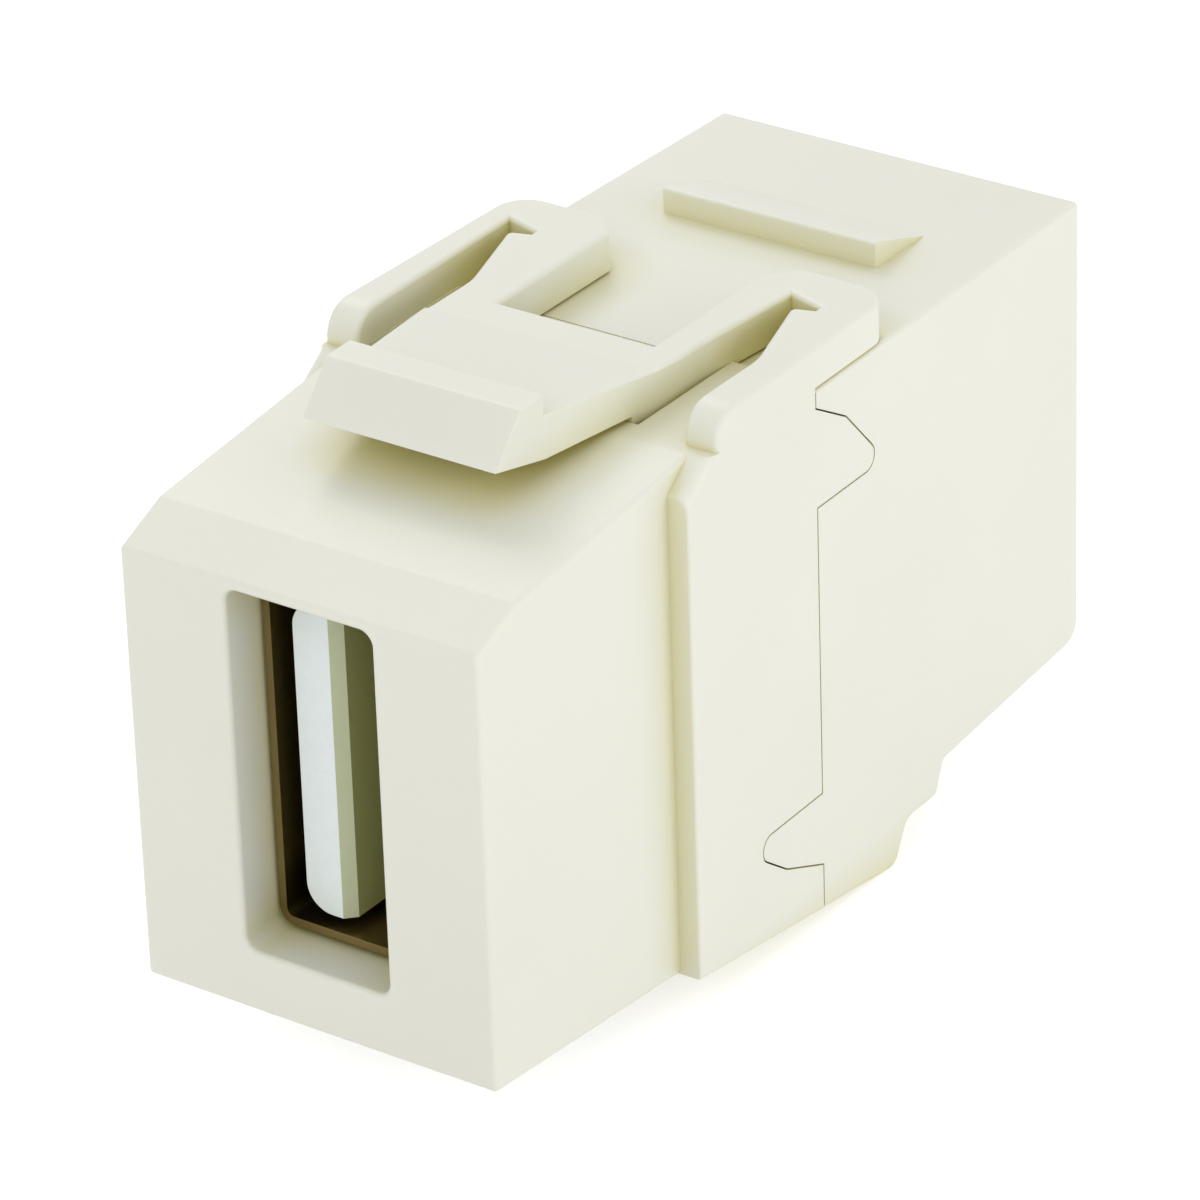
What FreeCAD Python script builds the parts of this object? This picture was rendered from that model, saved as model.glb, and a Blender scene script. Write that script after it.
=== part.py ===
import FreeCAD, Part
import math
import os
import re

import Sketcher

# Snap-in coupler for a wall plate: two female USB type A ports, back to back on a small board, in a
# two-piece moulded housing with a flexing latch on top.
# Frame: X across, Y from the panel side to the cable side, Z up. The origin is where the ports' common
# axis crosses the plane of the two stop shoulders that rest against the back of the panel.

# Driving dimensions in millimetres.
DIMENSIONS = {
    # Nose that fills the panel opening
    "nose_width": 14.5,
    "nose_length": 10.7,
    "axis_height": 9.1,
    "nose_fall": 0.85,
    "face_height": 16.3,
    "bevel_depth": 2.2,
    "bevel_rise": 0.95,
    "deck_start": 1.3,
    "deck_height": 9.25,
    "edge_round": 0.22,
    "side_round": 0.18,
    "fine_round": 0.12,
    # Body behind the panel
    "body_width": 16.2,
    "rear_taper": 1.1,
    "body_length": 25.3,
    "roof_height": 9.0,
    "wall": 1.3,
    "end_wall": 1.85,
    "floor_depth": 7.8,
    "ceiling": 7.1,
    "seam_depth": 7.8,
    "seam_gap": 0.06,
    # Stop shoulders and ears
    "shoulder_height": 8.3,
    "shoulder_run": 1.3,
    "shoulder_round": 0.5,
    "ear_front": 1.8,
    "ear_top": 10.6,
    "ear_thickness": 1.4,
    "ear_round": 1.2,
    # Blocks that carry the latch behind the ears
    "block_end": 12.8,
    "block_round": 1.3,
    "block_cut": 1.0,
    # Latch
    "arm_floor": 9.1,
    "root_width": 8.9,
    "window_width": 6.4,
    "window_start": 5.2,
    "crown_round": 0.2,
    # Latch slots: both wind to the same side
    "slot_shift": 1.65,
    "slot_width": 1.8,
    "slot_bend": 6.2,
    "slot_bend_round": 3.0,
    "slot_lean": 1.2,
    "slot_neck": 10.05,
    "slot_neck_round": 0.25,
    "slot_hook": 0.4,
    "slot_hook_depth": 10.3,
    "slot_end": 11.0,
    "slot_end_fall": 0.45,
    "plate_end": 3.6,
    "plate_height": 11.25,
    "plate_thickness": 1.6,
    "tab_width": 7.8,
    "tab_front": 4.85,
    "tab_foot": 10.3,
    "tab_lean": 1.45,
    "tab_top": 12.0,
    "tab_back": 2.1,
    "step_depth": 2.3,
    "step_height": 9.45,
    "well_right": 4.6,
    "well_floor": 8.2,
    "well_end": 6.9,
    # Jigsaw lobes of the seam
    "lobe_round": 0.5,
    "lobe_low": 4.6,
    "lobe_tip": 12.1,
    "lobe_bend_depth": 9.7,
    "lobe_bend_height": 7.2,
    "lobe_high": 8.3,
    "foot_lobe_high": 6.5,
    "foot_lobe_tip": 3.0,
    "foot_lobe_bend_depth": 5.5,
    "foot_lobe_bend_drop": 8.3,
    "foot_lobe_low": 9.25,
    # Lug and belly under the rear half
    "lug_fall": 1.82,
    "lug_end": 12.6,
    "lug_round": 0.6,
    "ledge_start": 13.4,
    "ledge_depth": 10.25,
    "ledge_end": 15.4,
    "belly_start": 15.9,
    "belly_depth": 9.05,
    "tail_depth": 8.45,
    "tail_round": 0.9,
    # Wedge rib on the roof
    "rib_width": 8.9,
    "rib_start": 16.9,
    "rib_height": 1.0,
    "rib_length": 3.1,
    # Port bays
    "mouth_width": 5.95,
    "mouth_height": 13.6,
    "mouth_round": 0.5,
    "mouth_edge": 0.22,
    "web": 0.9,
    "web_length": 6.0,
    # Ports: inside of the folded shell, its sheet and its legs
    "shell_width": 5.12,
    "shell_height": 12.5,
    "shell_sheet": 0.3,
    "shell_round": 0.6,
    "shell_length": 13.9,
    "spring_length": 5.0,
    "spring_width": 2.2,
    "spring_start": 3.4,
    "spring_pitch": 6.2,
    "spring_slit": 0.35,
    "leg_width": 1.4,
    "leg_offset": 4.6,
    "leg_reach": 5.0,
    # Insulator with its tongue
    "tongue_recess": 0.25,
    "tongue_length": 9.1,
    "tongue_width": 11.7,
    "tongue_thickness": 1.84,
    "tongue_back_gap": 0.72,
    "tongue_round": 1.0,
    "tip_chamfer": 0.38,
    "base_setback": 0.15,
    # Contacts
    "contact_width": 1.0,
    "contact_thickness": 0.25,
    "contact_sink": 0.05,
    "contact_tip": 2.4,
    "contact_crown": 0.4,
    "contact_play": 0.05,
    "inner_pitch": 2.0,
    "outer_pitch": 7.0,
    "tail_step": 0.25,
    "tail_reach": 5.0,
    # Board
    "board_thickness": 1.2,
    "board_height": 14.0,
    "pin_hole": 1.3,
    "leg_hole_play": 0.15,
    "rail": 0.8,
    "rail_play": 0.08,
    "rail_grip": 0.4,
    "rail_root": 9.9,
}

# Places worked out from the driving dimensions.
FACE = "-nose_length"
STOP_FOOT = "-axis_height - nose_fall"
FACE_TOP = "face_height - axis_height"
EAR_INSIDE = "body_width / 2 - ear_thickness"
STOP_LEDGE = "(body_width - nose_width) / 2"
ROOT_LEFT = f"{EAR_INSIDE} - slot_shift"
MOUTH_FRONT = "end_wall - nose_length"
SHELL_END = f"{MOUTH_FRONT} + shell_length"
PORT_MIDDLE = "(body_length - nose_length) / 2"
SHELL_OUTSIDE = "shell_width / 2 + shell_sheet"
TONGUE_LEFT = "tongue_back_gap - shell_width / 2"
TONGUE_RIGHT = f"{TONGUE_LEFT} + tongue_thickness"
TONGUE_TIP = f"{MOUTH_FRONT} + tongue_recess"
TONGUE_ROOT = f"{TONGUE_TIP} + tongue_length"
CONTACT_TOP = f"{TONGUE_RIGHT} - contact_sink"
BASE_BACK = f"{SHELL_END} - base_setback"
TAIL_FRONT = f"{SHELL_END} + tail_step"
TAIL_MIDDLE = f"{TAIL_FRONT} + contact_thickness / 2"
LEG_FRONT = f"{SHELL_END} - leg_offset"
RAIL_START = f"{LEG_FRONT} + leg_width + rail"
BOARD_LEFT = SHELL_OUTSIDE
BOARD_RIGHT = f"{BOARD_LEFT} + board_thickness"
WEB_END = f"{MOUTH_FRONT} + web_length"
CONTACT_HEIGHTS = ("outer_pitch / 2", "inner_pitch / 2", "-inner_pitch / 2", "-outer_pitch / 2")

doc = FreeCAD.newDocument("UsbKeystoneCoupler")
sheet = doc.addObject("Spreadsheet::Sheet", "Dims")
for row, (alias, size) in enumerate(DIMENSIONS.items(), start=1):
    sheet.set(f"A{row}", alias.replace("_", " "))
    sheet.set(f"B{row}", str(size))
    sheet.setAlias(f"B{row}", alias)
doc.recompute()


def bound(text):
    """The expression with each alias read from the sheet."""
    return re.sub(r"\b(?!min\b)[a-z][a-z_]+", lambda name: "Dims." + name.group(), str(text))


def value(text):
    """The expression's present value."""
    return float(sheet.evalExpression(bound(text)))


def minus(text):
    return f"-({text})"


def ramp(depth):
    """Height of the sloping underside at a depth behind the stop plane."""
    return f"{STOP_FOOT} - lug_fall * ({depth}) / lug_end"


def limited(radius, wall):
    """A round that stays well inside its wall."""
    return f"min({radius}; 0.6 * ({wall}))"


def half_width(depth):
    """Half the width of the body, which narrows evenly from the stop plane to the rear."""
    return f"body_width / 2 - rear_taper / 2 * ({depth}) / body_length"


def mirrored(corners):
    """The same corners on the other side of the sketch's upright axis, in turning order."""
    return [(minus(corner[0]), *corner[1:]) for corner in reversed(corners)]


def rectangle(left, right, low, high, round_text=None):
    corners = [(left, low), (right, low), (right, high), (left, high)]
    if round_text:
        corners = [(*corner, round_text) for corner in corners]
    return corners


def new_sketch(body, name, plane, offset):
    """A sketch on one of the body's origin planes, shifted along that plane's normal."""
    sketch = body.newObject("Sketcher::SketchObject", name)
    planes = {feature.Role: feature for feature in body.Origin.OriginFeatures}
    sketch.AttachmentSupport = [(planes[plane], "")]
    sketch.MapMode = "FlatFace"
    sketch.setExpression("AttachmentOffset.Base.z", bound(offset))
    return sketch


def tie(sketch, constraint, text):
    """Adds a dimension and binds it to the sheet."""
    number = sketch.addConstraint(constraint)
    sketch.setExpression(f"Constraints[{number}]", bound(text))


def pin_point(sketch, geometry, end, across, up):
    tie(sketch, Sketcher.Constraint("DistanceX", -1, 1, geometry, end, value(across)), across)
    tie(sketch, Sketcher.Constraint("DistanceY", -1, 1, geometry, end, value(up)), up)


def corner_arc(before, corner, after, radius):
    """Where a round of that radius leaves both sides of a corner, its centre and its sense of turn."""
    back = (before - corner).normalize()
    ahead = (after - corner).normalize()
    half_angle = back.getAngle(ahead) / 2
    run = radius / math.tan(half_angle)
    centre = corner + (back + ahead).normalize() * (radius / math.sin(half_angle))
    left_turn = back.cross(ahead).z < 0
    return corner + back * run, corner + ahead * run, centre, left_turn


def draw_outline(sketch, corners):
    """A closed outline of straight sides through the corners (across, up), rounded where a corner has a
    third entry. Each corner's place and round is bound to the sheet."""
    count = len(corners)
    points = [FreeCAD.Vector(value(corner[0]), value(corner[1]), 0) for corner in corners]
    rounds = {}
    for index, corner in enumerate(corners):
        if len(corner) > 2:
            before, after = points[index - 1], points[(index + 1) % count]
            rounds[index] = corner_arc(before, points[index], after, value(corner[2]))
    sides = []
    for index in range(count):
        following = (index + 1) % count
        start = rounds[index][1] if index in rounds else points[index]
        stop = rounds[following][0] if following in rounds else points[following]
        sides.append(sketch.addGeometry(Part.LineSegment(start, stop)))
    for index, corner in enumerate(corners):
        side_in, side_out = sides[index - 1], sides[index]
        if index not in rounds:
            sketch.addConstraint(Sketcher.Constraint("Coincident", side_in, 2, side_out, 1))
            pin_point(sketch, side_out, 1, corner[0], corner[1])
            continue
        start, stop, centre, left_turn = rounds[index]
        first, last = (start, stop) if left_turn else (stop, start)
        angles = [math.atan2(point.y - centre.y, point.x - centre.x) for point in (first, last)]
        circle = Part.Circle(centre, FreeCAD.Vector(0, 0, 1), (start - centre).Length)
        arc = sketch.addGeometry(Part.ArcOfCircle(circle, *angles))
        arc_in, arc_out = (1, 2) if left_turn else (2, 1)
        sketch.addConstraint(Sketcher.Constraint("Tangent", side_in, 2, arc, arc_in))
        sketch.addConstraint(Sketcher.Constraint("Tangent", side_out, 1, arc, arc_out))
        guide = sketch.addGeometry(Part.Point(points[index]), True)
        sketch.addConstraint(Sketcher.Constraint("PointOnObject", guide, 1, side_in))
        sketch.addConstraint(Sketcher.Constraint("PointOnObject", guide, 1, side_out))
        pin_point(sketch, guide, 1, corner[0], corner[1])
        tie(sketch, Sketcher.Constraint("Radius", arc, value(corner[2])), corner[2])


def draw_circle(sketch, across, up, diameter):
    centre = FreeCAD.Vector(value(across), value(up), 0)
    circle = Part.Circle(centre, FreeCAD.Vector(0, 0, 1), value(diameter) / 2)
    geometry = sketch.addGeometry(circle)
    pin_point(sketch, geometry, 3, across, up)
    tie(sketch, Sketcher.Constraint("Diameter", geometry, value(diameter)), diameter)


def new_body(label):
    body = doc.addObject("PartDesign::Body", label)
    body.Label = label
    return body


def feature(kind, body, name, plane, outlines, length=None, offset="0", symmetric=False, turned=False):
    """A pad or pocket of the outlines; without a length a pocket runs through all."""
    sketch = new_sketch(body, name + "_sketch", plane, offset)
    for corners in outlines:
        draw_outline(sketch, corners)
    result = body.newObject(f"PartDesign::{kind}", name)
    result.Profile = sketch
    result.SideType = "Symmetric" if symmetric else "One side"
    result.Reversed = turned
    if length is None:
        result.Type = "ThroughAll"
    else:
        result.setExpression("Length", bound(length))
    doc.recompute()
    return result


def pad(*arguments, **options):
    return feature("Pad", *arguments, **options)


def pocket(*arguments, **options):
    """A pocket that has to take material away."""
    body = arguments[0]
    before = body.Shape.Volume
    result = feature("Pocket", *arguments, **options)
    if body.Shape.Volume > before - 1e-4:
        raise ValueError(f"{result.Name} cuts nothing")
    return result


def round_edges(body, name, radius, wanted):
    """Rounds the edges whose inner points all pass the test."""
    tip = body.Tip
    edges = []
    for number, edge in enumerate(tip.Shape.Edges, start=1):
        first, last = edge.ParameterRange
        points = [edge.valueAt(first + (last - first) * step) for step in (0.2, 0.5, 0.8)]
        if all(wanted(point) for point in points):
            edges.append(f"Edge{number}")
    rounding = body.newObject("PartDesign::Fillet", name)
    rounding.Base = (tip, edges)
    rounding.setExpression("Radius", bound(radius))
    doc.recompute()


def at(place, text):
    """Whether a coordinate is at the expression's value."""
    return abs(place - value(text)) < 1e-4


def on_flank(point):
    """Whether a point is on one of the body's narrowing sides."""
    return at(abs(point.x), half_width(point.y))


def taper_sides(body):
    """Takes the body's sides in evenly towards the rear."""
    sliver = [("body_width / 2", "0"), ("body_width", "0"), ("body_width", "body_length"),
              (half_width("body_length"), "body_length")]
    pocket(body, body.Label + "_taper", "XY_Plane", [sliver, mirrored(sliver)], symmetric=True)


def lobe_corners(gap):
    """Fin of the front housing that reaches back into the rear one, grown by a gap."""
    return [("seam_depth - wall", f"lobe_low - {gap}"),
            (f"lobe_tip + 2.3 * {gap}", f"lobe_low - {gap}", f"lobe_round + {gap}"),
            (f"lobe_bend_depth + 0.6 * {gap}", f"lobe_bend_height + 0.8 * {gap}"),
            ("seam_depth", f"lobe_high + 1.1 * {gap}"),
            ("seam_depth - wall", f"lobe_high + 1.1 * {gap}")]


def foot_lobe_corners(gap):
    """Fin of the rear housing that reaches forward into the front one, grown by a gap."""
    return [("seam_depth + wall", f"-foot_lobe_high + {gap}"),
            (f"foot_lobe_tip - 3 * {gap}", f"-foot_lobe_high + {gap}", f"lobe_round + {gap}"),
            (f"foot_lobe_bend_depth - 0.5 * {gap}", f"-foot_lobe_bend_drop - 0.9 * {gap}"),
            ("seam_depth", f"-foot_lobe_low - {gap}"),
            ("seam_depth + wall", f"-foot_lobe_low - {gap}")]


def side_fins(body, name, corners):
    """The same fin in both side walls."""
    for side, offset in (("left", "-body_width / 2"), ("right", "body_width / 2 - wall")):
        pad(body, f"{name}_{side}", "YZ_Plane", [corners], "wall", offset=offset)


def side_seats(body, name, corners):
    """Room for the other housing's fin in both side walls."""
    inside = "body_width / 2 - wall - seam_gap"
    for side, offset, outward in (("left", minus(inside), False), ("right", inside, True)):
        pocket(body, f"{name}_{side}", "YZ_Plane", [corners], offset=offset, turned=outward)


def board_rails(body, name, start, stop, top):
    """Four rails that grip the board's upper and lower edges."""
    grooves = []
    for inside, outside in ((f"{BOARD_LEFT} - rail", BOARD_LEFT),
                            (f"{BOARD_RIGHT} + rail_play", f"{BOARD_RIGHT} + rail_play + rail")):
        grooves.append(rectangle(inside, outside, "-rail_root", "-board_height / 2 + rail_grip"))
        grooves.append(rectangle(inside, outside, "board_height / 2 - rail_grip", top))
    pad(body, name, "XZ_Plane", grooves, f"{stop} - ({start})", offset=minus(start), turned=True)


def front_housing():
    body = new_body("front_housing")
    nose = [(FACE, "-axis_height", "edge_round"),
            ("0", STOP_FOOT),
            ("deck_start", STOP_FOOT),
            ("deck_start", "deck_height"),
            (f"{FACE} + bevel_depth", f"{FACE_TOP} + bevel_rise", "edge_round"),
            (FACE, FACE_TOP, "edge_round")]
    pad(body, "nose", "YZ_Plane", [nose], "nose_width", symmetric=True)
    round_edges(body, "nose_edges", "side_round",
                lambda point: at(abs(point.x), "nose_width / 2") and not at(point.y, "deck_start"))
    collar = [("0", STOP_FOOT),
              ("seam_depth", ramp("seam_depth")),
              ("seam_depth", "deck_height"),
              ("shoulder_run", "deck_height"),
              ("0", "shoulder_height")]
    pad(body, "collar", "YZ_Plane", [collar], "body_width", symmetric=True)
    for name, floor, end in (("well", "well_floor", "well_end"),
                             ("well_step", "roof_height", "seam_depth + wall")):
        well = rectangle(minus(EAR_INSIDE), "well_right", "step_depth - rail_play", end)
        pocket(body, name, "XY_Plane", [well], offset=floor, turned=True)
    join(body, snap_latch())
    side_fins(body, "lobe", lobe_corners("0"))
    taper_sides(body)
    slope = "(deck_height - shoulder_height) / shoulder_run"
    round_edges(body, "shoulder_tops", limited("shoulder_round", STOP_LEDGE),
                lambda point: on_flank(point) and at(point.z, f"shoulder_height + {slope} * {point.y:.9f}"))
    round_edges(body, "stop_edges", limited("fine_round", STOP_LEDGE),
                lambda point: on_flank(point) and point.z < value("shoulder_height")
                and (at(point.y, "0") or at(point.z, ramp(point.y))))
    side_seats(body, "foot_lobe_seat", foot_lobe_corners("seam_gap"))
    front_bay(body)
    board_rails(body, "front_rails", RAIL_START, "seam_depth", "ceiling + wall / 2")
    return body


def snap_latch():
    """Ears' tops with the blocks behind them, and the latch that springs from the blocks."""
    latch = new_body("snap_latch")
    head = [("-tab_front", "tab_foot"),
            ("-tab_front + tab_lean", "tab_top", "edge_round"),
            ("-tab_back", "tab_top"),
            ("-tab_back", "plate_height"),
            ("plate_end", "ear_top"),
            ("window_start", "ear_top"),
            ("window_start", "arm_floor"),
            ("step_depth", "arm_floor"),
            ("step_depth", "step_height"),
            ("-tab_back", "plate_height - plate_thickness")]
    pad(latch, "head", "YZ_Plane", [head], "2 * root_width", symmetric=True)
    slivers = []
    for root in ("root_width / 2", ROOT_LEFT):
        slivers.append([("tab_width / 2", FACE),
                        ("root_width + wall", FACE),
                        ("root_width + wall", "window_start"),
                        (root, "window_start"),
                        (root, "plate_end"),
                        ("tab_width / 2", "-tab_back")])
    pocket(latch, "head_sides", "XY_Plane", [slivers[0], mirrored(slivers[1])], symmetric=True)
    block = [("window_width / 2", "window_start"),
             ("window_width / 2", "block_end - block_cut"),
             ("window_width / 2 + block_cut", "block_end"),
             (half_width("block_end"), "block_end", "block_round"),
             (half_width("ear_front"), "ear_front"),
             (EAR_INSIDE, "ear_front")]
    plate = [("root_width / 2", "slot_bend", "slot_bend_round"),
             ("root_width / 2", "plate_end"),
             (minus(ROOT_LEFT), "plate_end")]
    crown = block + slot_corners(EAR_INSIDE) + plate + slot_corners(minus(ROOT_LEFT)) + mirrored(block)
    pad(latch, "crown", "XY_Plane", [crown], "ear_top - arm_floor", offset="arm_floor")
    round_edges(latch, "ear_fronts", "ear_round",
                lambda point: at(point.z, "ear_top") and at(point.y, "ear_front"))
    round_edges(latch, "crown_edges", "crown_round",
                lambda point: at(point.z, "ear_top") and point.y > value("plate_end") + 0.01)
    return latch


def slot_corners(side):
    """The winding rear half of a latch slot, from the bend in its right side to the end of its left side."""
    return [(side, "slot_bend", "slot_bend_round"),
            (f"{side} - slot_lean", "slot_neck", "slot_neck_round"),
            (f"{side} - slot_hook", "slot_hook_depth"),
            (f"{side} - slot_hook", "slot_end - slot_end_fall"),
            (f"{side} - slot_width", "slot_end")]


def join(body, other):
    """Moulds another body into this one."""
    union = body.newObject("PartDesign::Boolean", other.Label + "_joined")
    union.Type = "Fuse"
    union.setObjects([other])
    doc.recompute()


def front_bay(body):
    """Room for the board behind the stop plane, side chambers in the nose and the port's tunnel."""
    room = [("wall", f"{STOP_FOOT} + wall"),
            ("seam_depth + wall", f"{ramp('seam_depth')} + wall"),
            ("seam_depth + wall", "ceiling"),
            ("wall", "ceiling")]
    pocket(body, "room", "YZ_Plane", [room], "body_width - 2 * wall", symmetric=True)
    chamber = [("mouth_width / 2 + web", WEB_END),
               ("mouth_width / 2 + web", MOUTH_FRONT),
               ("nose_width / 2 - wall", MOUTH_FRONT),
               ("nose_width / 2 - wall", "2 * wall")]
    pocket(body, "chambers", "XY_Plane", [chamber + mirrored(chamber)], "floor_depth + ceiling",
           offset="-floor_depth", turned=True)
    mouth_pocket(body, FACE)


def mouth_pocket(body, face):
    """The window in an end face, with its rim rounded over."""
    mouth = rectangle("-mouth_width / 2", "mouth_width / 2", "-mouth_height / 2", "mouth_height / 2",
                      "mouth_round")
    pocket(body, body.Label + "_mouth", "XZ_Plane", [mouth], symmetric=True)
    across, up = value("mouth_width / 2") + 1e-4, value("mouth_height / 2") + 1e-4
    round_edges(body, body.Label + "_mouth_rim", "mouth_edge",
                lambda point: at(point.y, face) and abs(point.x) < across and abs(point.z) < up)


def rear_housing():
    body = new_body("rear_housing")
    start = "seam_depth + seam_gap"
    side = [(start, ramp(start)),
            ("lug_end", ramp("lug_end"), "lug_round"),
            ("ledge_start", "-ledge_depth", "lug_round"),
            ("ledge_end", "-ledge_depth", "lug_round / 2"),
            ("belly_start", "-belly_depth", "lug_round / 2"),
            ("body_length", "-tail_depth", "tail_round"),
            ("body_length", "roof_height", "edge_round"),
            (start, "roof_height")]
    pad(body, "shell", "YZ_Plane", [side], "body_width", symmetric=True)
    side_fins(body, "foot_lobe", foot_lobe_corners("0"))
    taper_sides(body)
    round_edges(body, "flank_edges", "side_round",
                lambda point: on_flank(point) and point.y > value(start) + 0.01
                and not at(point.z, minus("foot_lobe_high")) and not at(point.z, minus("foot_lobe_low")))
    rib = [("rib_start", "roof_height - wall / 2"),
           ("rib_start + rib_length", "roof_height - wall / 2"),
           ("rib_start + rib_length", "roof_height"),
           ("rib_start", "roof_height + rib_height", "edge_round / 2")]
    pad(body, "rib", "YZ_Plane", [rib], "rib_width", symmetric=True)
    side_seats(body, "lobe_seat", lobe_corners("seam_gap"))
    rear_bay(body)
    board_rails(body, "rear_rails", "seam_depth", turned_depth(RAIL_START, True), "roof_height - wall / 2")
    return body


def rear_bay(body):
    """Room for the rear half of the board, with two webs that guide the rear port into its window."""
    back = "body_length - end_wall"
    room = [("seam_depth - 2 * wall", f"{ramp('seam_depth')} + wall"),
            ("lug_end - 2 * wall", f"{ramp('lug_end')} + wall"),
            ("lug_end - wall", "-floor_depth"),
            (back, "-tail_depth + wall"),
            (back, "roof_height - wall"),
            ("seam_depth - 2 * wall", "roof_height - wall")]
    pocket(body, "rear_room", "YZ_Plane", [room], "body_width - rear_taper - 2 * wall", symmetric=True)
    web = rectangle("mouth_width / 2", "mouth_width / 2 + web", "-belly_depth + wall / 2",
                    "roof_height - wall / 2")
    pad(body, "webs", "XZ_Plane", [web, mirrored(web)], "web_length", offset=minus(back))
    mouth_pocket(body, "body_length")


def circuit_board():
    body = new_body("circuit_board")
    board = rectangle(WEB_END, turned_depth(WEB_END, True), "-board_height / 2", "board_height / 2")
    sketch = new_sketch(body, "board_sketch", "YZ_Plane", BOARD_LEFT)
    draw_outline(sketch, board)
    for turn in (False, True):
        for height in CONTACT_HEIGHTS:
            draw_circle(sketch, turned_depth(TAIL_MIDDLE, turn), height, "pin_hole")
        for low in ("shell_height / 2 - leg_hole_play", "-shell_height / 2 - shell_sheet - leg_hole_play"):
            near = turned_depth(f"{LEG_FRONT} - leg_hole_play", turn)
            far = turned_depth(f"{LEG_FRONT} + leg_width + leg_hole_play", turn)
            left, right = (far, near) if turn else (near, far)
            draw_outline(sketch, rectangle(left, right, low, f"{low} + shell_sheet + 2 * leg_hole_play"))
    plate = body.newObject("PartDesign::Pad", "board")
    plate.Profile = sketch
    plate.setExpression("Length", bound("board_thickness"))
    doc.recompute()
    return body


def turned_depth(depth, turn):
    """The depth of a front port feature, or of the same feature on the rear port."""
    return f"2 * ({PORT_MIDDLE}) - ({depth})" if turn else depth


def port_shell(label):
    """Folded sheet shell with leaf springs cut in its broad sides and two board legs."""
    body = new_body(label)
    outside = rectangle(minus(SHELL_OUTSIDE), SHELL_OUTSIDE, "-shell_height / 2 - shell_sheet",
                        "shell_height / 2 + shell_sheet", "shell_round")
    inside = rectangle("-shell_width / 2", "shell_width / 2", "-shell_height / 2", "shell_height / 2",
                       "shell_round - shell_sheet")
    pad(body, label + "_tube", "XZ_Plane", [outside, inside], "shell_length",
        offset=minus(MOUTH_FRONT), turned=True)
    start = f"{MOUTH_FRONT} + spring_start"
    stop = f"{start} + spring_length"
    springs = []
    for middle in ("spring_pitch / 2", "-spring_pitch / 2"):
        low, high = f"{middle} - spring_width / 2", f"{middle} + spring_width / 2"
        springs.append([(start, low), (stop, low), (stop, f"{low} + spring_slit"),
                        (f"{start} + spring_slit", f"{low} + spring_slit"),
                        (f"{start} + spring_slit", f"{high} - spring_slit"),
                        (stop, f"{high} - spring_slit"), (stop, high), (start, high)])
    pocket(body, label + "_springs", "YZ_Plane", springs, symmetric=True)
    leg = rectangle("0", "leg_reach", LEG_FRONT, f"{LEG_FRONT} + leg_width")
    for side, offset in (("upper", "shell_height / 2"), ("lower", "-shell_height / 2 - shell_sheet")):
        pad(body, f"{label}_leg_{side}", "XY_Plane", [leg], "shell_sheet", offset=offset)
    return body


def port_insulator(label):
    """Moulded block that fills the back of the shell, with the tongue and its four contact grooves."""
    body = new_body(label)
    base = rectangle("-shell_width / 2", "shell_width / 2", "-shell_height / 2", "shell_height / 2",
                     "shell_round - shell_sheet")
    pad(body, label + "_base", "XZ_Plane", [base], f"{BASE_BACK} - ({TONGUE_ROOT})",
        offset=minus(TONGUE_ROOT), turned=True)
    tongue = [(TONGUE_LEFT, f"{TONGUE_ROOT} + base_setback"),
              (TONGUE_LEFT, TONGUE_TIP),
              (f"{TONGUE_RIGHT} - tip_chamfer", TONGUE_TIP),
              (TONGUE_RIGHT, f"{TONGUE_TIP} + tip_chamfer"),
              (TONGUE_RIGHT, f"{TONGUE_ROOT} + base_setback")]
    pad(body, label + "_tongue", "XY_Plane", [tongue], "tongue_width", symmetric=True)
    round_edges(body, label + "_tongue_edges", "tongue_round",
                lambda point: at(point.x, TONGUE_LEFT) and at(abs(point.z), "tongue_width / 2"))
    groove = [(f"{CONTACT_TOP} - contact_thickness", f"{TONGUE_TIP} + contact_tip - contact_play"),
              (f"{TONGUE_RIGHT} + contact_crown", f"{TONGUE_TIP} + contact_tip - contact_play"),
              (f"{TONGUE_RIGHT} + contact_crown", TONGUE_ROOT),
              (CONTACT_TOP, TONGUE_ROOT),
              (CONTACT_TOP, SHELL_END),
              (f"{CONTACT_TOP} - contact_thickness", SHELL_END)]
    for number, height in enumerate(CONTACT_HEIGHTS, start=1):
        pocket(body, f"{label}_groove_{number}", "XY_Plane", [groove], "contact_width + 2 * contact_play",
               offset=height, symmetric=True)
    return body


def port_contact(label, height):
    """Bowed strip along the tongue that turns down behind the base to its hole in the board."""
    body = new_body(label)
    under = f"{CONTACT_TOP} - contact_thickness"
    tip = f"{TONGUE_TIP} + contact_tip"
    crest = f"({TONGUE_TIP} + contact_tip + {TONGUE_ROOT}) / 2 - contact_tip / 2"
    tail_back = f"{TAIL_FRONT} + contact_thickness"
    strip = [(CONTACT_TOP, tip),
             (f"{CONTACT_TOP} + contact_crown", crest, "2 * contact_width"),
             (CONTACT_TOP, TONGUE_ROOT),
             (CONTACT_TOP, TAIL_FRONT, "contact_thickness / 2"),
             ("tail_reach", TAIL_FRONT),
             ("tail_reach", tail_back),
             (under, tail_back, "1.5 * contact_thickness"),
             (under, TONGUE_ROOT),
             (f"{under} + contact_crown", crest, "2 * contact_width"),
             (under, tip)]
    pad(body, label + "_strip", "XY_Plane", [strip], "contact_width", offset=height, symmetric=True)
    return body


def port(name):
    """The pieces of one port, in the front port's place."""
    pieces = [port_shell(f"{name}_port_shell"), port_insulator(f"{name}_port_insulator")]
    for number, height in enumerate(CONTACT_HEIGHTS, start=1):
        pieces.append(port_contact(f"{name}_port_contact_{number}", height))
    return pieces


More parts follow.
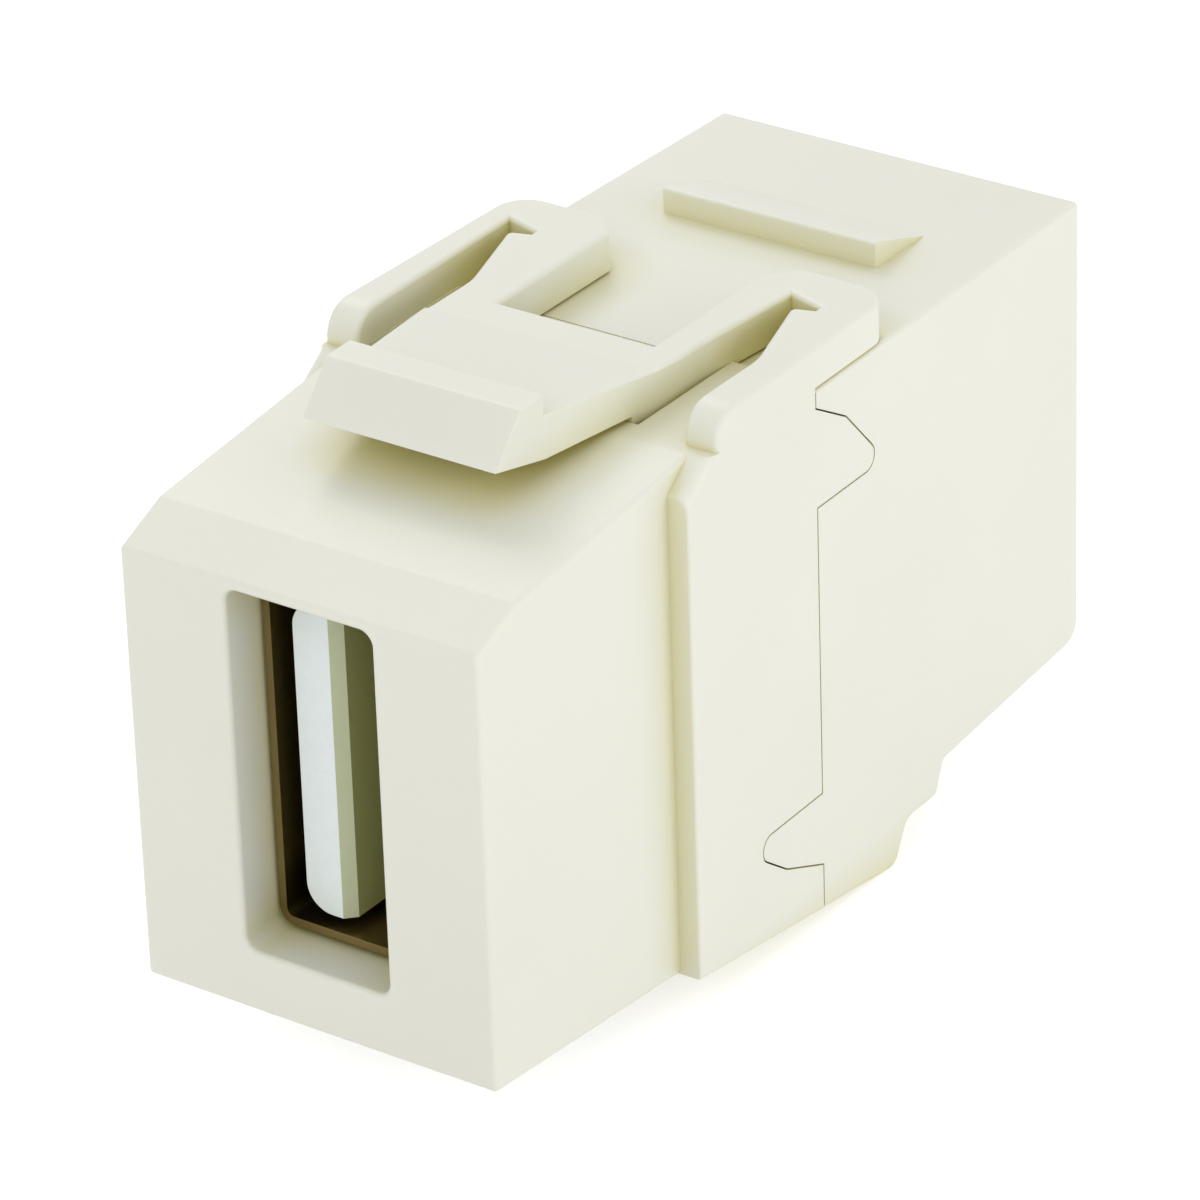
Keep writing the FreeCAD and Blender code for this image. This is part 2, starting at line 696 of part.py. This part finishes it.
def turn_round(piece):
    """Turns a piece half round about X, midway between the two port mouths."""
    half_turn = FreeCAD.Rotation(FreeCAD.Vector(1, 0, 0), 180)
    piece.Placement = FreeCAD.Placement(FreeCAD.Vector(0, 0, 0), half_turn)
    piece.setExpression("Placement.Base.y", bound(f"2 * ({PORT_MIDDLE})"))


def main():
    pieces = [front_housing(), rear_housing(), circuit_board()]
    pieces += port("front")
    rear_pieces = port("rear")
    for piece in rear_pieces:
        turn_round(piece)
    pieces += rear_pieces
    doc.recompute()
    for item in doc.Objects:
        if "Invalid" in item.State or "Error" in item.State:
            raise ValueError(f"{item.Label} failed: {item.State}")
    for piece in pieces:
        if piece.Shape.isNull() or not piece.Shape.isValid():
            raise ValueError(f"{piece.Label} has no valid shape")
        if len(piece.Shape.Solids) != 1:
            raise ValueError(f"{piece.Label} has {len(piece.Shape.Solids)} solids")
    os.makedirs("parts", exist_ok=True)
    for piece in pieces:
        piece.Shape.exportStep(os.path.join("parts", piece.Label + ".step"))


main()
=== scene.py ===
import math

import bpy
import numpy as np
from mathutils import Matrix, Vector


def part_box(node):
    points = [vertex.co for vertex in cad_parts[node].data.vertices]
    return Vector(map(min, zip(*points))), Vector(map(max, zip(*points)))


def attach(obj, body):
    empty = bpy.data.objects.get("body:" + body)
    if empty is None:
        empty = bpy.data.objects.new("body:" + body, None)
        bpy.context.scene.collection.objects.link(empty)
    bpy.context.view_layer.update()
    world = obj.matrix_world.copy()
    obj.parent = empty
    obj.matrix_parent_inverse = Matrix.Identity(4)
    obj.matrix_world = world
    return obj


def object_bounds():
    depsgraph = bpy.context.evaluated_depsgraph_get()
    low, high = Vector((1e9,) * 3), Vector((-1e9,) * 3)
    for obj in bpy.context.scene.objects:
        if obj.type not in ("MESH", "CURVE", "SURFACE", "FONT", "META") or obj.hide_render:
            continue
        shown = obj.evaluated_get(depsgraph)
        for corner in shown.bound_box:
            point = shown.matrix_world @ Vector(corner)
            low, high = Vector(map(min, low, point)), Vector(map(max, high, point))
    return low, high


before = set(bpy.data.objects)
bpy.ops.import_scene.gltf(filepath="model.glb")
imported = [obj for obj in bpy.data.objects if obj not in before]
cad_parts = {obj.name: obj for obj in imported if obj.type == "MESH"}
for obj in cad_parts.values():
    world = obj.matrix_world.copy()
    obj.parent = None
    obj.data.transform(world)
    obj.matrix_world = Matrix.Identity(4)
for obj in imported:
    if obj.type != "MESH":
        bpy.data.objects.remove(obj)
CAD_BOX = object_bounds()

bl_info = {
    "name": "USB keystone coupler",
    "version": (1, 0, 0),
    "blender": (4, 5, 0),
    "location": "View3D > Sidebar > Coupler",
    "description": "Finishes, solder joints and studio of a snap-in USB coupler",
    "category": "Object",
}

MM = 0.001
HOUSINGS = ("front_housing", "rear_housing")
PORTS = ("front", "rear")
PINS = range(1, 5)
SHARP_ANGLE = math.radians(40)
SENSOR_WIDTH = 36
FLOOR_SPAN = 60
FLOOR_GAP = 0.02 * MM
# The setting with each lamp's power, the lamp's place from the middle of the part, and its width, in mm.
LAMPS = (
    ("key", (290, 40, 40), 220),
    ("top", (-150, 110, 200), 120),
    ("fill", (30, -250, 180), 220),
)


def linear(hex_colour):
    """sRGB hex to a linear colour with full alpha."""
    parts = np.array([int(hex_colour[start:start + 2], 16) for start in (0, 2, 4)]) / 255
    light = np.where(parts <= 0.04045, parts / 12.92, ((parts + 0.055) / 1.055) ** 2.4)
    return (*light.tolist(), 1.0)


def colour_setting(name, description, hex_colour):
    return bpy.props.FloatVectorProperty(name=name, description=description, subtype="COLOR", size=4,
                                         min=0, max=1, default=linear(hex_colour))


def length_setting(name, description, millimetres):
    return bpy.props.FloatProperty(name=name, description=description, subtype="DISTANCE", unit="LENGTH",
                                   default=millimetres * MM)


def angle_setting(name, description, degrees):
    return bpy.props.FloatProperty(name=name, description=description, subtype="ANGLE", unit="ROTATION",
                                   default=math.radians(degrees))


def share_setting(name, description, share):
    return bpy.props.FloatProperty(name=name, description=description, subtype="FACTOR", min=0, max=1,
                                   default=share)


def power_setting(name, description, watts):
    return bpy.props.FloatProperty(name=name, description=description, unit="POWER", default=watts)


class CouplerHousing(bpy.types.PropertyGroup):
    """Finish of the two moulded housings."""
    ivory: colour_setting("Ivory", "Colour of the moulded housings", "EBEBDF")
    # painted shade: the next colour is painted into slots, corners and under the latch as shade, and the
    # reach sets how far from a corner it begins; the housings' own colour is the ivory above
    crevice_shade: colour_setting("Crevice", "Deeper tone that gathers in slots and corners", "D6CE80")
    crevice_shade_reach: length_setting("Crevice reach", "How far from a corner the deeper tone begins", 2.0)
    roughness: share_setting("Roughness", "Satin of the spark-eroded mould", 0.42)
    grain: length_setting("Grain", "Spacing of the mould's fine texture", 0.35)


class CouplerPorts(bpy.types.PropertyGroup):
    """Finish of the two ports."""
    tongue: colour_setting("Tongue", "Colour of the moulded tongue and base", "EEF6F6")
    # painted shade: the tongue shade is painted on faces turned to +X and deep in the ports; the shade reach
    # also sets where the plated metal is painted darker
    shade: colour_setting("Tongue shade", "Tone of the tongue where it looks at the shell", "BCC282")
    shade_reach: length_setting("Shade reach", "How far apart walls stand where a port's shade begins", 2.5)
    shell: colour_setting("Shell", "Colour of the plated shell", "9B885C")
    contact: colour_setting("Contacts", "Colour of the plated contacts", "D9B25A")


class CouplerBoard(bpy.types.PropertyGroup):
    """Finish and solder joints of the board inside."""
    mask: colour_setting("Solder mask", "Colour of the board", "1F5A33")
    solder: colour_setting("Solder", "Colour of the solder joints", "B9BBBD")
    joint_height: length_setting("Joint height", "How far solder climbs a pin or leg", 0.6)
    joint_skirt: length_setting("Joint skirt", "How far solder spreads round a pin or leg on the board", 0.3)
    joint_skin: length_setting("Joint skin", "Thickness of the solder at its upper end", 0.06)
    joint_sink: length_setting("Joint sink", "How far a joint reaches into its hole", 0.04)
    pin_thickness: length_setting("Pin thickness", "Thickness of a contact's tail", 0.25)
    leg_width: length_setting("Leg width", "Width of a shell's leg", 1.4)
    leg_sheet: length_setting("Leg sheet", "Thickness of a shell's leg", 0.3)
    leg_setback: length_setting("Leg setback", "From the back of a shell to the middle of its legs", 3.9)


class CouplerStage(bpy.types.PropertyGroup):
    """Camera, lights and floor."""
    azimuth: angle_setting("Azimuth", "Turn of the camera to the right of the front", 35.817)
    elevation: angle_setting("Elevation", "Height of the camera above the horizon", 27.939)
    roll: angle_setting("Roll", "Lean of the camera", 1.946)
    distance: length_setting("Distance", "Camera to target", 242.41)
    target: bpy.props.FloatVectorProperty(name="Target", description="Point at the middle of the picture",
                                          subtype="TRANSLATION", unit="LENGTH",
                                          default=(-0.356 * MM, 6.597 * MM, -0.683 * MM))
    lens: bpy.props.FloatProperty(name="Lens", description="Focal length on a 36 mm sensor",
                                  subtype="DISTANCE_CAMERA", unit="CAMERA", default=210.43)
    sky: bpy.props.FloatProperty(name="Sky", description="Strength of the even light from all round",
                                 default=0.685)
    key: power_setting("Key", "Power of the large lamp on the right, in watts", 0.26)
    top: power_setting("Top", "Power of the lamp high behind on the left, in watts", 0.11)
    fill: power_setting("Fill", "Power of the large lamp in front, in watts", 0.15)
    floor: colour_setting("Floor", "Colour of the paper under the part", "F6F6F6")
    floor_glow: share_setting("Floor glow", "White that the paper adds where it is seen", 0.55)


def add(tree, kind, feeds=None, **settings):
    """Adds a node, gives it its settings, and sets or links its inputs."""
    made = tree.nodes.new(kind)
    for name, setting in settings.items():
        setattr(made, name, setting)
    for socket, feed in (feeds or {}).items():
        if isinstance(feed, bpy.types.NodeSocket):
            tree.links.new(feed, made.inputs[socket])
        else:
            made.inputs[socket].default_value = feed
    return made


def new_material(name):
    material = bpy.data.materials.new(name)
    material.use_nodes = True
    material.node_tree.nodes.clear()
    return material, material.node_tree


def finish_surface(tree, shader):
    add(tree, "ShaderNodeOutputMaterial", {"Surface": shader.outputs[0]})


def per_mm(millimetres):
    """Texture scale for a pattern whose features are that many millimetres apart."""
    return 1 / (millimetres * MM)


def noise(tree, place, spacing, detail):
    """Soft random pattern whose features are that many millimetres apart."""
    made = add(tree, "ShaderNodeTexNoise", {"Vector": place, "Scale": per_mm(spacing), "Detail": detail})
    return made.outputs["Fac"]


def ranged(tree, feed, start, end, low=0.0, high=1.0):
    """Carries a value between low and high over to one between start and end."""
    made = add(tree, "ShaderNodeMapRange", {"Value": feed, "From Min": low, "From Max": high,
                                            "To Min": start, "To Max": end})
    return made.outputs["Result"]


def openness(tree, reach, samples):
    """Share of the directions from a point in which nothing stands within the reach."""
    return add(tree, "ShaderNodeAmbientOcclusion", {"Distance": reach}, samples=samples).outputs["AO"]


def blended(tree, share, colour, other):
    """The first colour, with that share of the other."""
    made = add(tree, "ShaderNodeMix", {"Factor": share, "A": colour, "B": other}, data_type="RGBA")
    return made.outputs["Result"]


def brightened(tree, colour, brightness):
    """The colour times a brightness."""
    return add(tree, "ShaderNodeHueSaturation", {"Color": colour, "Value": brightness}).outputs["Color"]


def relief(tree, pattern, strength, depth):
    """Tilts the surface as if the pattern stood up by that many millimetres."""
    made = add(tree, "ShaderNodeBump", {"Height": pattern, "Strength": strength, "Distance": depth * MM})
    return made.outputs["Normal"]


def moulded_abs(name, colour, crevice_shade, reach, roughness, grain):
    """ABS from a spark-eroded mould: an even satin with a faint mottle, light that spreads a little under the
    skin at thin edges, and painted shade: a warmer, darker tone painted into slots, corners and wherever
    surfaces stand close, in place of the shade of light bounced about there."""
    material, tree = new_material(name)
    place = add(tree, "ShaderNodeTexCoord").outputs["Object"]
    # painted shade: the less open a point is, the more of the crevice colour it is painted with
    shade = ranged(tree, openness(tree, reach, samples=1), 1.0, 0.0)
    tone = blended(tree, shade, colour, crevice_shade)
    mottle = ranged(tree, noise(tree, place, spacing=9, detail=2.0), 0.97, 1.03)
    texture = noise(tree, place, spacing=grain, detail=3.0)
    shader = add(tree, "ShaderNodeBsdfPrincipled", {
        "Base Color": brightened(tree, tone, mottle),
        "Roughness": ranged(tree, texture, roughness - 0.06, roughness + 0.06),
        "Normal": relief(tree, texture, strength=0.25, depth=0.012),
        "IOR": 1.53,
        "Subsurface Weight": 0.12,
        "Subsurface Scale": 0.4 * MM,
        "Subsurface Radius": (1.0, 0.9, 0.6),
    })
    finish_surface(tree, shader)
    return material


def moulded_pbt(name, colour, shade, reach):
    """Glass-filled PBT: pale, a little glossy and finely flecked, with painted shade: faces turned to the
    shell's open side, and all that lies deep in the port, are painted in the darker shade colour."""
    material, tree = new_material(name)
    coordinates = add(tree, "ShaderNodeTexCoord").outputs
    # painted shade: the more a face turns to +X, towards the shell's open side, the more of the shade colour
    # it gets, and so does all that lies deep in the port
    sideways = add(tree, "ShaderNodeSeparateXYZ", {"Vector": coordinates["Normal"]}).outputs["X"]
    deep = ranged(tree, openness(tree, reach, samples=4), 1.0, 0.0, low=0.2, high=0.6)
    painted_shade_share = add(tree, "ShaderNodeMath", {0: sideways, 1: deep}, operation="MAXIMUM", use_clamp=True)
    tone = blended(tree, painted_shade_share.outputs[0], colour, shade)
    fibres = noise(tree, coordinates["Object"], spacing=0.3, detail=3.0)
    shader = add(tree, "ShaderNodeBsdfPrincipled", {
        "Base Color": brightened(tree, tone, ranged(tree, fibres, 0.96, 1.04)),
        "Roughness": ranged(tree, fibres, 0.32, 0.44),
        "Normal": relief(tree, fibres, strength=0.2, depth=0.01),
        "IOR": 1.55,
    })
    finish_surface(tree, shader)
    return material


def plated_metal(name, colour, reach, roughness, spacing):
    """Plated strip: a bright skin with faint rolling lines along its length and slightly uneven gloss, with
    painted shade that makes it darker where it lies deep between close walls."""
    material, tree = new_material(name)
    place = add(tree, "ShaderNodeTexCoord").outputs["Object"]
    along = add(tree, "ShaderNodeMapping", {"Vector": place, "Scale": (1.0, 0.05, 1.0)}).outputs["Vector"]
    lines = noise(tree, along, spacing, detail=2.0)
    # painted shade: the base colour is darkened where close walls stand round a point
    recess_shade = ranged(tree, openness(tree, reach, samples=4), 0.35, 1.0, low=0.2, high=0.6)
    shader = add(tree, "ShaderNodeBsdfPrincipled", {
        "Base Color": brightened(tree, colour, recess_shade),
        "Metallic": 1.0,
        "Roughness": ranged(tree, lines, roughness - 0.08, roughness + 0.08),
        "Normal": relief(tree, lines, strength=0.2, depth=0.005),
    })
    finish_surface(tree, shader)
    return material


def masked_laminate(name, colour):
    """Glass-cloth laminate under a glossy solder mask: the weave shows through as a faint grid."""
    material, tree = new_material(name)
    place = add(tree, "ShaderNodeTexCoord").outputs["Object"]
    turned = add(tree, "ShaderNodeMapping", {"Vector": place, "Rotation": (0, math.pi / 2, 0)})
    weave = add(tree, "ShaderNodeTexChecker", {"Vector": turned.outputs["Vector"],
                                               "Scale": per_mm(0.5)}).outputs["Fac"]
    shader = add(tree, "ShaderNodeBsdfPrincipled", {
        "Base Color": brightened(tree, colour, ranged(tree, weave, 0.92, 1.06)),
        "Roughness": 0.3,
        "IOR": 1.5,
        "Coat Weight": 0.4,
        "Coat Roughness": 0.15,
    })
    finish_surface(tree, shader)
    return material


def tin_solder(name, colour):
    """Reflowed tin alloy: bright and smooth, with a faint crystalline dulling."""
    material, tree = new_material(name)
    place = add(tree, "ShaderNodeTexCoord").outputs["Object"]
    crystals = add(tree, "ShaderNodeTexVoronoi", {"Vector": place, "Scale": per_mm(0.2)}).outputs["Distance"]
    shader = add(tree, "ShaderNodeBsdfPrincipled", {
        "Base Color": colour,
        "Metallic": 1.0,
        "Roughness": ranged(tree, crystals, 0.22, 0.4),
    })
    finish_surface(tree, shader)
    return material


def seen_directly(tree):
    """One for rays from the camera, a reflection or a clear body, and nothing for light on the part."""
    path = add(tree, "ShaderNodeLightPath").outputs
    seen = add(tree, "ShaderNodeMath", {0: path["Is Camera Ray"], 1: path["Is Transmission Ray"]},
               operation="MAXIMUM").outputs[0]
    return add(tree, "ShaderNodeMath", {0: seen, 1: path["Is Glossy Ray"]}, operation="MAXIMUM").outputs[0]


def white_paper(name, colour, glow):
    """Matt white paper that adds a glow of its own where it is seen, so that the shadow on it stays soft."""
    material, tree = new_material(name)
    strength = add(tree, "ShaderNodeMath", {0: seen_directly(tree), 1: glow}, operation="MULTIPLY").outputs[0]
    paper = add(tree, "ShaderNodeBsdfDiffuse", {"Color": colour})
    light = add(tree, "ShaderNodeEmission", {"Color": linear("FFFFFF"), "Strength": strength})
    finish_surface(tree, add(tree, "ShaderNodeAddShader", {0: paper.outputs[0], 1: light.outputs[0]}))
    return material


def dress(node_name, material):
    """Gives a CAD node its material in place of the plain one."""
    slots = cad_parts[node_name].material_slots
    if not slots:
        raise RuntimeError(f"{node_name} has no material slot")
    for slot in slots:
        slot.material = material


def new_piece(name, vertices, faces, material):
    """A mesh from whole arrays, at the origin, riding with the part."""
    mesh = bpy.data.meshes.new(name)
    mesh.from_pydata(vertices, [], faces)
    if mesh.validate():
        raise RuntimeError(f"{name} has faulty faces")
    mesh.shade_smooth()
    mesh.set_sharp_from_angle(angle=SHARP_ANGLE)
    piece = bpy.data.objects.new(name, mesh)
    bpy.context.collection.objects.link(piece)
    mesh.materials.append(material)
    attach(piece, "root")
    return piece


def grid_faces(rows, columns):
    """Quads of a grid of rows by columns whose columns close on themselves."""
    row, column = np.meshgrid(np.arange(rows - 1), np.arange(columns), indexing="ij")
    following = (column + 1) % columns
    quads = np.stack([row * columns + column, row * columns + following,
                      (row + 1) * columns + following, (row + 1) * columns + column], axis=-1)
    return quads.reshape(-1, 4)


def joint_surface(centres, halves, height, skirt, skin, sink):
    """Solder drawn up pins that stand along X. Each ring is an ellipse round the pin; its half-axes are the
    pin's half-sizes plus the skin at the top, and grow towards the board by the square of the height still to
    climb, so the flank is hollow."""
    rings, sides = 7, 24
    climb = np.linspace(0, 1, rings)
    turn = np.linspace(0, 2 * np.pi, sides, endpoint=False)
    axes = halves + skin + (skirt - skin) * (1 - climb[:, None]) ** 2
    out = np.repeat(climb[:, None] * (height + sink) - sink, sides, axis=1)
    ring = np.stack([out, axes[:, :1] * np.cos(turn), axes[:, 1:] * np.sin(turn)], axis=-1)
    vertices = (centres[:, None, None, :] + ring).reshape(-1, 3)
    starts = np.arange(len(centres))[:, None, None] * rings * sides
    flanks = (grid_faces(rings, sides) + starts).reshape(-1, 4)
    feet = np.arange(sides)[::-1] + starts[:, :, 0]
    tops = np.arange(sides) + (rings - 1) * sides + starts[:, :, 0]
    return vertices, flanks.tolist() + feet.tolist() + tops.tolist()


def pin_centres(face, thickness):
    """Where the contact tails leave the board, at the inner ends of the contacts."""
    boxes = np.array([[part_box(f"{port}_port_contact_{number}") for number in PINS] for port in PORTS])
    low, high = boxes[:, :, 0], boxes[:, :, 1]
    depth = np.stack([high[0, :, 1] - thickness / 2, low[1, :, 1] + thickness / 2])
    height = ((low + high) / 2)[:, :, 2]
    return np.stack([np.full(depth.size, face), depth.ravel(), height.ravel()], axis=-1)


def leg_centres(face, setback, sheet):
    """Where the shell legs leave the board."""
    low, high = (np.array(corner) for corner in zip(*(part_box(f"{port}_port_shell") for port in PORTS)))
    depth = np.array([high[0, 1] - setback, low[1, 1] + setback])
    height = np.stack([low[:, 2] + sheet / 2, high[:, 2] - sheet / 2], axis=-1)
    return np.stack([np.full(height.size, face), np.repeat(depth, 2), height.ravel()], axis=-1)


class COUPLER_OT_dress_housings(bpy.types.Operator):
    """Gives both housings their moulded ivory finish"""
    bl_idname = "coupler.dress_housings"
    bl_label = "Dress housings"

    def execute(self, context):
        finish = context.scene.coupler_housing
        plastic = moulded_abs("ivory_moulded_abs", finish.ivory, finish.crevice_shade, finish.crevice_shade_reach,
                              finish.roughness, finish.grain / MM)
        for name in HOUSINGS:
            dress(name, plastic)
        return {"FINISHED"}


class COUPLER_OT_dress_ports(bpy.types.Operator):
    """Gives the shells, tongues and contacts of both ports their finishes"""
    bl_idname = "coupler.dress_ports"
    bl_label = "Dress ports"

    def execute(self, context):
        finish = context.scene.coupler_ports
        reach = finish.shade_reach
        steel = plated_metal("nickel_plated_steel", finish.shell, reach, roughness=0.35, spacing=0.12)
        gold = plated_metal("gold_plated_bronze", finish.contact, reach, roughness=0.25, spacing=0.1)
        tongue = moulded_pbt("white_moulded_pbt", finish.tongue, finish.shade, reach)
        for port in PORTS:
            dress(f"{port}_port_shell", steel)
            dress(f"{port}_port_insulator", tongue)
            for number in PINS:
                dress(f"{port}_port_contact_{number}", gold)
        return {"FINISHED"}


class COUPLER_OT_dress_board(bpy.types.Operator):
    """Gives the board its masked laminate"""
    bl_idname = "coupler.dress_board"
    bl_label = "Dress board"

    def execute(self, context):
        dress("circuit_board", masked_laminate("masked_glass_laminate", context.scene.coupler_board.mask))
        return {"FINISHED"}


class COUPLER_OT_solder_board(bpy.types.Operator):
    """Adds the solder joints of the contact tails and the shell legs"""
    bl_idname = "coupler.solder_board"
    bl_label = "Solder board"

    def execute(self, context):
        board = context.scene.coupler_board
        tin = tin_solder("tin_solder", board.solder)
        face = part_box("circuit_board")[1][0]
        low, high = (np.array(corner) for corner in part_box("front_port_contact_1"))
        pin = np.array([board.pin_thickness, high[2] - low[2]]) / 2
        leg = np.array([board.leg_width, board.leg_sheet]) / 2
        groups = {"pin_joints": (pin_centres(face, board.pin_thickness), pin),
                  "leg_joints": (leg_centres(face, board.leg_setback, board.leg_sheet), leg)}
        for name, (centres, halves) in groups.items():
            vertices, faces = joint_surface(centres, halves, board.joint_height, board.joint_skirt,
                                            board.joint_skin, board.joint_sink)
            new_piece(name, vertices, faces, tin)
        return {"FINISHED"}


class COUPLER_OT_build_stage(bpy.types.Operator):
    """Builds the floor, the lights and the camera"""
    bl_idname = "coupler.build_stage"
    bl_label = "Build stage"

    def execute(self, context):
        stage = context.scene.coupler_stage
        context.scene.view_settings.view_transform = "Standard"
        self.build_world(context, stage)
        self.build_floor(context, stage)
        self.build_lamps(context, stage)
        self.build_camera(context, stage)
        return {"FINISHED"}

    def build_world(self, context, stage):
        """White where the camera or a reflection sees it, and a softer even light for the object."""
        world = bpy.data.worlds.new("studio")
        world.use_nodes = True
        tree = world.node_tree
        tree.nodes.clear()
        strength = ranged(tree, seen_directly(tree), stage.sky, 1.0)
        sky = add(tree, "ShaderNodeBackground", {"Color": linear("FFFFFF"), "Strength": strength})
        add(tree, "ShaderNodeOutputWorld", {"Surface": sky.outputs[0]})
        context.scene.world = world

    def build_floor(self, context, stage):
        """A wide sheet of white paper just under the part."""
        low, high = CAD_BOX
        span = FLOOR_SPAN * (high - low).length
        level = low.z - FLOOR_GAP
        corners = [(-span, -span, level), (span, -span, level), (span, span, level), (-span, span, level)]
        mesh = bpy.data.meshes.new("floor")
        mesh.from_pydata(corners, [], [(0, 1, 2, 3)])
        floor = bpy.data.objects.new("floor", mesh)
        context.collection.objects.link(floor)
        mesh.materials.append(white_paper("white_paper", stage.floor, stage.floor_glow))

    def build_lamps(self, context, stage):
        """A large lamp on the right, one high behind on the left and a large one in front."""
        centre = (CAD_BOX[0] + CAD_BOX[1]) / 2
        for name, offset, width in LAMPS:
            lamp = bpy.data.lights.new(name, "AREA")
            lamp.energy = getattr(stage, name)
            lamp.size = width * MM
            holder = bpy.data.objects.new(name, lamp)
            context.collection.objects.link(holder)
            holder.location = centre + Vector(offset) * MM
            holder.rotation_euler = (centre - holder.location).to_track_quat("-Z", "Y").to_euler()

    def build_camera(self, context, stage):
        """The photograph's viewpoint: turned about the target, then leaned about the line of sight."""
        camera = bpy.data.cameras.new("camera")
        camera.lens = stage.lens
        camera.sensor_width = SENSOR_WIDTH
        camera.clip_start = 10 * MM
        camera.clip_end = 10
        holder = bpy.data.objects.new("camera", camera)
        context.collection.objects.link(holder)
        back = Vector((math.sin(stage.azimuth) * math.cos(stage.elevation),
                       -math.cos(stage.azimuth) * math.cos(stage.elevation),
                       math.sin(stage.elevation)))
        upright = (-back).to_track_quat("-Z", "Y").to_matrix()
        holder.matrix_world = (Matrix.Translation(Vector(stage.target) + back * stage.distance)
                               @ (upright @ Matrix.Rotation(-stage.roll, 3, "Z")).to_4x4())
        context.scene.camera = holder


class COUPLER_PT_panel(bpy.types.Panel):
    """Lists the coupler's settings and the buttons of its operators"""
    bl_label = "USB keystone coupler"
    bl_idname = "COUPLER_PT_panel"
    bl_space_type = "VIEW_3D"
    bl_region_type = "UI"
    bl_category = "Coupler"

    def draw(self, context):
        for group, settings in SETTINGS.items():
            holder = getattr(context.scene, group)
            for name in settings.__annotations__:
                self.layout.prop(holder, name)
        for operator in OPERATORS:
            self.layout.operator(operator.bl_idname)


SETTINGS = {
    "coupler_housing": CouplerHousing,
    "coupler_ports": CouplerPorts,
    "coupler_board": CouplerBoard,
    "coupler_stage": CouplerStage,
}
OPERATORS = (
    COUPLER_OT_dress_housings,
    COUPLER_OT_dress_ports,
    COUPLER_OT_dress_board,
    COUPLER_OT_solder_board,
    COUPLER_OT_build_stage,
)


def register():
    for kind in (*SETTINGS.values(), *OPERATORS, COUPLER_PT_panel):
        bpy.utils.register_class(kind)
    for group, settings in SETTINGS.items():
        setattr(bpy.types.Scene, group, bpy.props.PointerProperty(type=settings))


def unregister():
    for group in SETTINGS:
        delattr(bpy.types.Scene, group)
    for kind in (COUPLER_PT_panel, *reversed(OPERATORS), *reversed(SETTINGS.values())):
        bpy.utils.unregister_class(kind)


def main():
    register()
    bpy.ops.coupler.dress_housings()
    bpy.ops.coupler.dress_ports()
    bpy.ops.coupler.dress_board()
    bpy.ops.coupler.solder_board()
    bpy.ops.coupler.build_stage()


if __name__ == "__main__":
    main()
